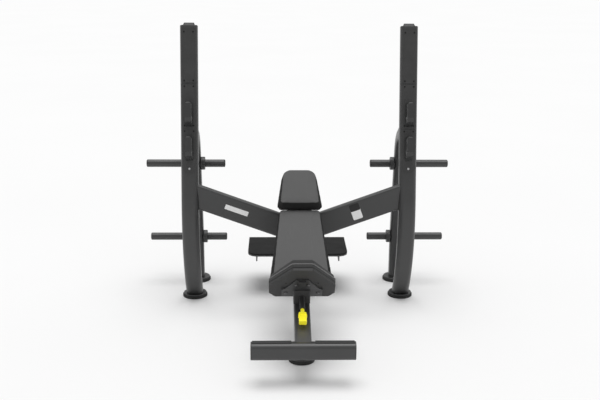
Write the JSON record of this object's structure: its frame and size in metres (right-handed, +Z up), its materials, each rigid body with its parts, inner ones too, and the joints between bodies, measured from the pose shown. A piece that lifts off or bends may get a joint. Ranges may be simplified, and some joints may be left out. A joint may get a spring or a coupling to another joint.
{
  "type": "olympic incline bench",
  "caption": "Free-standing incline weight bench with bar catches, plate pegs, a sliding seat with a pull pin, a foot rest and a raised step for the spotter.",
  "frame": {"origin": "On the floor, under the middle of the bench's bounding box.", "axes": "+Z up, +X to the right of someone facing the bench from the foot rest, +Y from the foot rest to the spotter's step."},
  "size_m": [1.689, 1.475, 1.5031],
  "materials": {
    "frame_paint": "satin powder coat",
    "black_plastic": "fine grain moulded",
    "black_rubber": "matt",
    "black_steel": "black oxide",
    "bright_steel": "zinc plated",
    "yellow_plastic": "smooth moulded",
    "board_wood": "black painted plywood",
    "pad_vinyl": "grained upholstery vinyl"
  },
  "bodies": {
    "bench_frame": {"front_upright_left": "frame_paint", "rear_leg_left": "frame_paint", "top_cap_left": "black_plastic", "arm_left": "frame_paint", "foot_rest_tread_left": "black_rubber", "bar_guard_upper_left": "black_plastic", "bar_guard_middle_left": "black_plastic", "bar_guard_lower_left": "black_plastic", "bar_hook_upper_left": "frame_paint", "bar_hook_lower_left": "frame_paint", "storage_peg_upper_left": "frame_paint", "storage_peg_lower_left": "frame_paint", "front_upright_right": "frame_paint", "rear_leg_right": "frame_paint", "top_cap_right": "black_plastic", "arm_right": "frame_paint", "foot_rest_tread_right": "black_rubber", "bar_guard_upper_right": "black_plastic", "bar_guard_middle_right": "black_plastic", "bar_guard_lower_right": "black_plastic", "bar_hook_upper_right": "frame_paint", "bar_hook_lower_right": "frame_paint", "storage_peg_upper_right": "frame_paint", "storage_peg_lower_right": "frame_paint", "rubber_foot_front_left": "black_rubber", "rubber_foot_front_right": "black_rubber", "rubber_foot_rear_left": "black_rubber", "rubber_foot_rear_right": "black_rubber", "rubber_foot_front_centre": "black_rubber", "rubber_foot_rear_centre": "black_rubber", "guard_screws": "black_steel", "guard_bolts": "bright_steel", "peg_collars": "frame_paint", "peg_end_caps": "black_plastic", "foot_plates": "frame_paint", "spine": "frame_paint", "front_leg": "frame_paint", "rear_strut": "frame_paint", "foot_rest_bar": "frame_paint", "foot_rest_caps": "black_plastic", "seat_sleeve": "frame_paint", "pin_barrel": "frame_paint", "pin_spring": "bright_steel", "back_rail": "frame_paint", "pad_bolts": "bright_steel", "lower_pad_board": "board_wood", "lower_back_pad": "pad_vinyl", "head_pad_board": "board_wood", "head_pad": "pad_vinyl", "platform_mat": "black_rubber", "platform_deck": "frame_paint", "platform_frame": "frame_paint"},
    "seat": {"seat_board": "board_wood", "seat_cushion": "pad_vinyl", "seat_bracket": "frame_paint", "seat_post": "frame_paint", "seat_bolts": "bright_steel"},
    "pull_pin": {"latch_pin": "bright_steel", "pin_grip": "yellow_plastic"}
  },
  "joints": [
    {"name": "seat_height", "type": "slide", "parent": "bench_frame", "child": "seat", "axis": [0, -0.225, 0.9744], "range_m": [0, 0.09]},
    {"name": "pin_slide", "type": "slide", "parent": "bench_frame", "child": "pull_pin", "axis": [0, -0.9744, -0.225], "range_m": [-0.014, 0], "stiffness_N_per_m": 800, "springref_m": -0.03}
  ]
}
